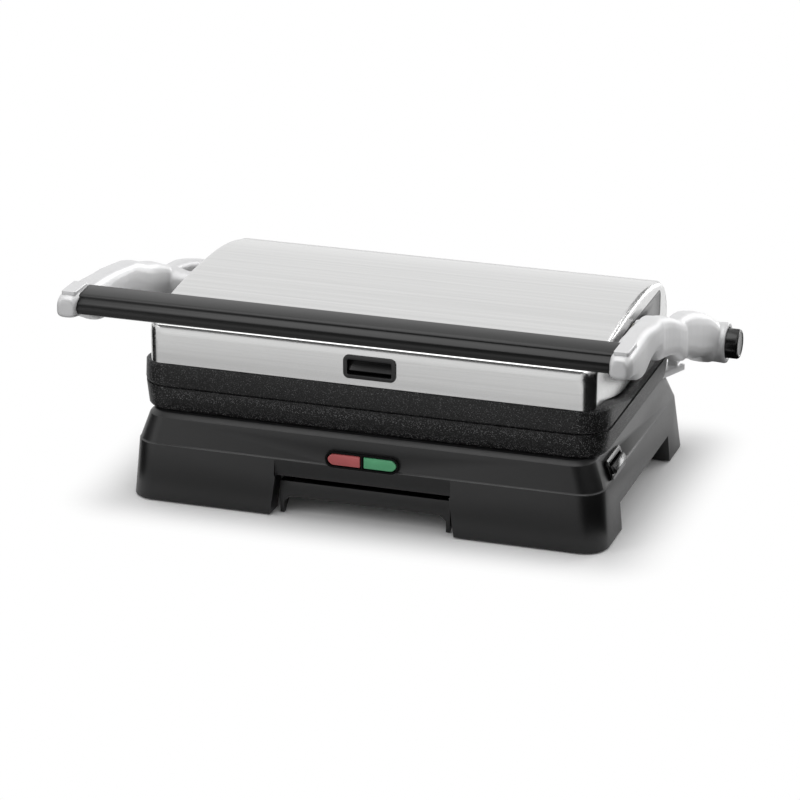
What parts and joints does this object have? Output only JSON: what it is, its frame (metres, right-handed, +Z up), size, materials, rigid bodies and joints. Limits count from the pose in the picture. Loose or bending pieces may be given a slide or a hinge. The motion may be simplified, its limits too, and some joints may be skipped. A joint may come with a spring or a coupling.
{
  "type": "contact grill with hinged lid",
  "caption": "Countertop contact grill: a ribbed lower plate in a black base, a floating steel-covered lid with its own plate on two silver arms, and a full-width grip bar.",
  "frame": {"origin": "on the worktop, under the middle of the whole product with the lid closed", "axes": "+X to the right along the front, +Y from the front to the back, +Z up"},
  "size_m": [0.4124, 0.2816, 0.162],
  "materials": {
    "black_housing": "fine grained matt moulding",
    "black_trim": "satin black moulding",
    "rubber": "matt",
    "brushed_steel": "brushed from side to side",
    "zinc_steel": "plain plated",
    "silver_cast": "satin silver paint",
    "coated_plate": "speckled non-stick coating",
    "heater_tube": "heat darkened",
    "red_lens": "clear gloss",
    "green_lens": "clear gloss",
    "board": "coated board",
    "ceramic": "glazed",
    "nylon": "natural",
    "spring_steel": "drawn wire"
  },
  "bodies": {
    "base": {"lower_housing": "black_housing", "deck_housing": "black_housing", "bottom_cover": "black_trim", "rubber_feet": "rubber", "base_screws": "zinc_steel", "indicator_bezel": "black_trim", "red_lens": "red_lens", "green_lens": "green_lens", "lamp_board": "board", "lower_reflector": "brushed_steel", "lower_heater": "heater_tube", "lower_heater_clips": "zinc_steel", "lower_thermostat": "ceramic", "terminal_block": "ceramic", "cord_gland": "black_trim", "hinge_bracket_left": "silver_cast", "hinge_bracket_right": "silver_cast", "hinge_pins": "zinc_steel", "bracket_screws": "zinc_steel", "hinge_washers": "nylon", "lower_latch_bezel": "black_trim"},
    "lower_release": {"lower_release_button": "black_trim", "lower_release_spring": "spring_steel"},
    "lower_grill_plate": {"lower_plate": "coated_plate"},
    "tray": {"drip_tray": "black_housing"},
    "arms": {"arm_left": "silver_cast", "arm_right": "silver_cast", "grip_bar": "black_housing", "grip_rod": "zinc_steel", "arm_screw_covers": "silver_cast", "lid_pivot_pins": "zinc_steel", "pivot_clips": "spring_steel", "hinge_end_cap": "black_trim"},
    "hinge_release": {"hinge_release_button": "black_trim", "hinge_release_spring": "spring_steel"},
    "lid": {"lid_cover": "brushed_steel", "lid_frame": "black_trim", "lid_rear_cap": "black_housing", "lid_side_plates": "black_trim", "pivot_bushings": "nylon", "upper_reflector": "brushed_steel", "upper_heater": "heater_tube", "upper_heater_clips": "zinc_steel", "upper_thermal_fuse": "ceramic", "frame_screws": "zinc_steel", "upper_latch_bezel": "black_trim"},
    "upper_release": {"upper_release_button": "black_trim", "upper_release_spring": "spring_steel"},
    "upper_grill_plate": {"upper_plate": "coated_plate"}
  },
  "joints": [
    {"name": "lid_hinge", "type": "hinge", "parent": "base", "child": "arms", "pos_m": [0, 0.1264, 0.0804], "axis": [-1, 0, 0], "range_deg": [0, 179.4]},
    {"name": "lid_tilt", "type": "hinge", "parent": "arms", "child": "lid", "pos_m": [0, 0.0214, 0.1189], "axis": [1, 0, 0], "range_deg": [0, 4.05]},
    {"name": "upper_plate_slide", "type": "slide", "parent": "lid", "child": "upper_grill_plate", "axis": [0, -1, 0], "range_m": [0, 0.14]},
    {"name": "lower_plate_slide", "type": "slide", "parent": "base", "child": "lower_grill_plate", "axis": [0, -1, 0], "range_m": [0, 0.13]},
    {"name": "drip_tray_slide", "type": "slide", "parent": "base", "child": "tray", "axis": [0, -1, 0], "range_m": [0, 0.16]},
    {"name": "upper_release_press", "type": "slide", "parent": "lid", "child": "upper_release", "axis": [0, 1, 0], "range_m": [0, 0.003], "stiffness_N_per_m": 600, "springref_m": -0.004, "deforming": ["upper_release_spring"]},
    {"name": "lower_release_press", "type": "slide", "parent": "base", "child": "lower_release", "axis": [-1, 0, 0], "range_m": [0, 0.003], "stiffness_N_per_m": 600, "springref_m": -0.004, "deforming": ["lower_release_spring"]},
    {"name": "hinge_release_press", "type": "slide", "parent": "arms", "child": "hinge_release", "axis": [-1, 0, 0], "range_m": [0, 0.003], "stiffness_N_per_m": 900, "springref_m": -0.003, "deforming": ["hinge_release_spring"]}
  ],
  "couplings": [
    {"joint": "lid_tilt", "follows": "lid_hinge", "ratio": 0.0225}
  ]
}
